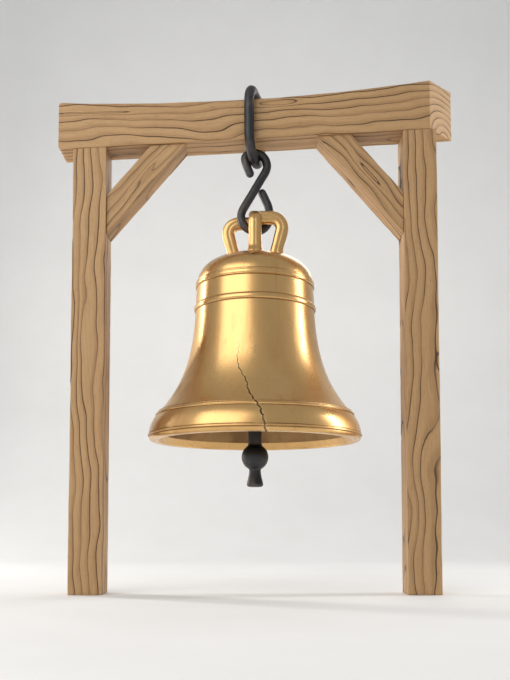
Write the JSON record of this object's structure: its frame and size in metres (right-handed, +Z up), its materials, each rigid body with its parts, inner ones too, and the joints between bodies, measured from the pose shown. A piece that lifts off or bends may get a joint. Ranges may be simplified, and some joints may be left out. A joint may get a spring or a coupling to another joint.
{
  "type": "timber bell frame",
  "caption": "Open timber bell frame with braced posts and a swept crossbeam; a cracked bronze bell with its clapper hangs from an iron ring and S-hook.",
  "frame": {"origin": "centre of the left post's foot, at ground level", "axes": "+X along the frame to the right post, +Z up, the front faces -Y"},
  "size_m": [2.288, 1.2139, 2.953],
  "materials": {
    "oak": "sawn and oiled oak with dark open grain",
    "wrought_iron": "dark forged iron, lightly waxed",
    "bell_bronze": "polished cast bell bronze"
  },
  "bodies": {
    "frame": {"left_post": "oak", "right_post": "oak", "crossbeam": "oak", "left_brace": "oak", "right_brace": "oak", "left_post_pegs": "oak", "right_post_pegs": "oak", "left_brace_pegs": "oak", "right_brace_pegs": "oak", "hanging_ring": "wrought_iron"},
    "hook": {"s_hook": "wrought_iron"},
    "bell": {"bell": "bell_bronze", "crown": "bell_bronze", "clapper_staple": "wrought_iron", "clapper_pin": "wrought_iron"},
    "clapper": {"clapper": "wrought_iron"}
  },
  "joints": [
    {"name": "hook_sway", "type": "hinge", "parent": "frame", "child": "hook", "pos_m": [0.94, 0, 2.487], "axis": [0.2419, 0.9703, 0], "range_deg": [-3, 3]},
    {"name": "bell_swing", "type": "hinge", "parent": "hook", "child": "bell", "pos_m": [0.94, 0, 2.0773], "axis": [0.9848, 0.1736, 0], "range_deg": [-7, 7]},
    {"name": "clapper_swing", "type": "hinge", "parent": "bell", "child": "clapper", "pos_m": [0.94, 0, 1.8116], "axis": [0, 1, 0], "range_deg": [-18, 18]}
  ]
}
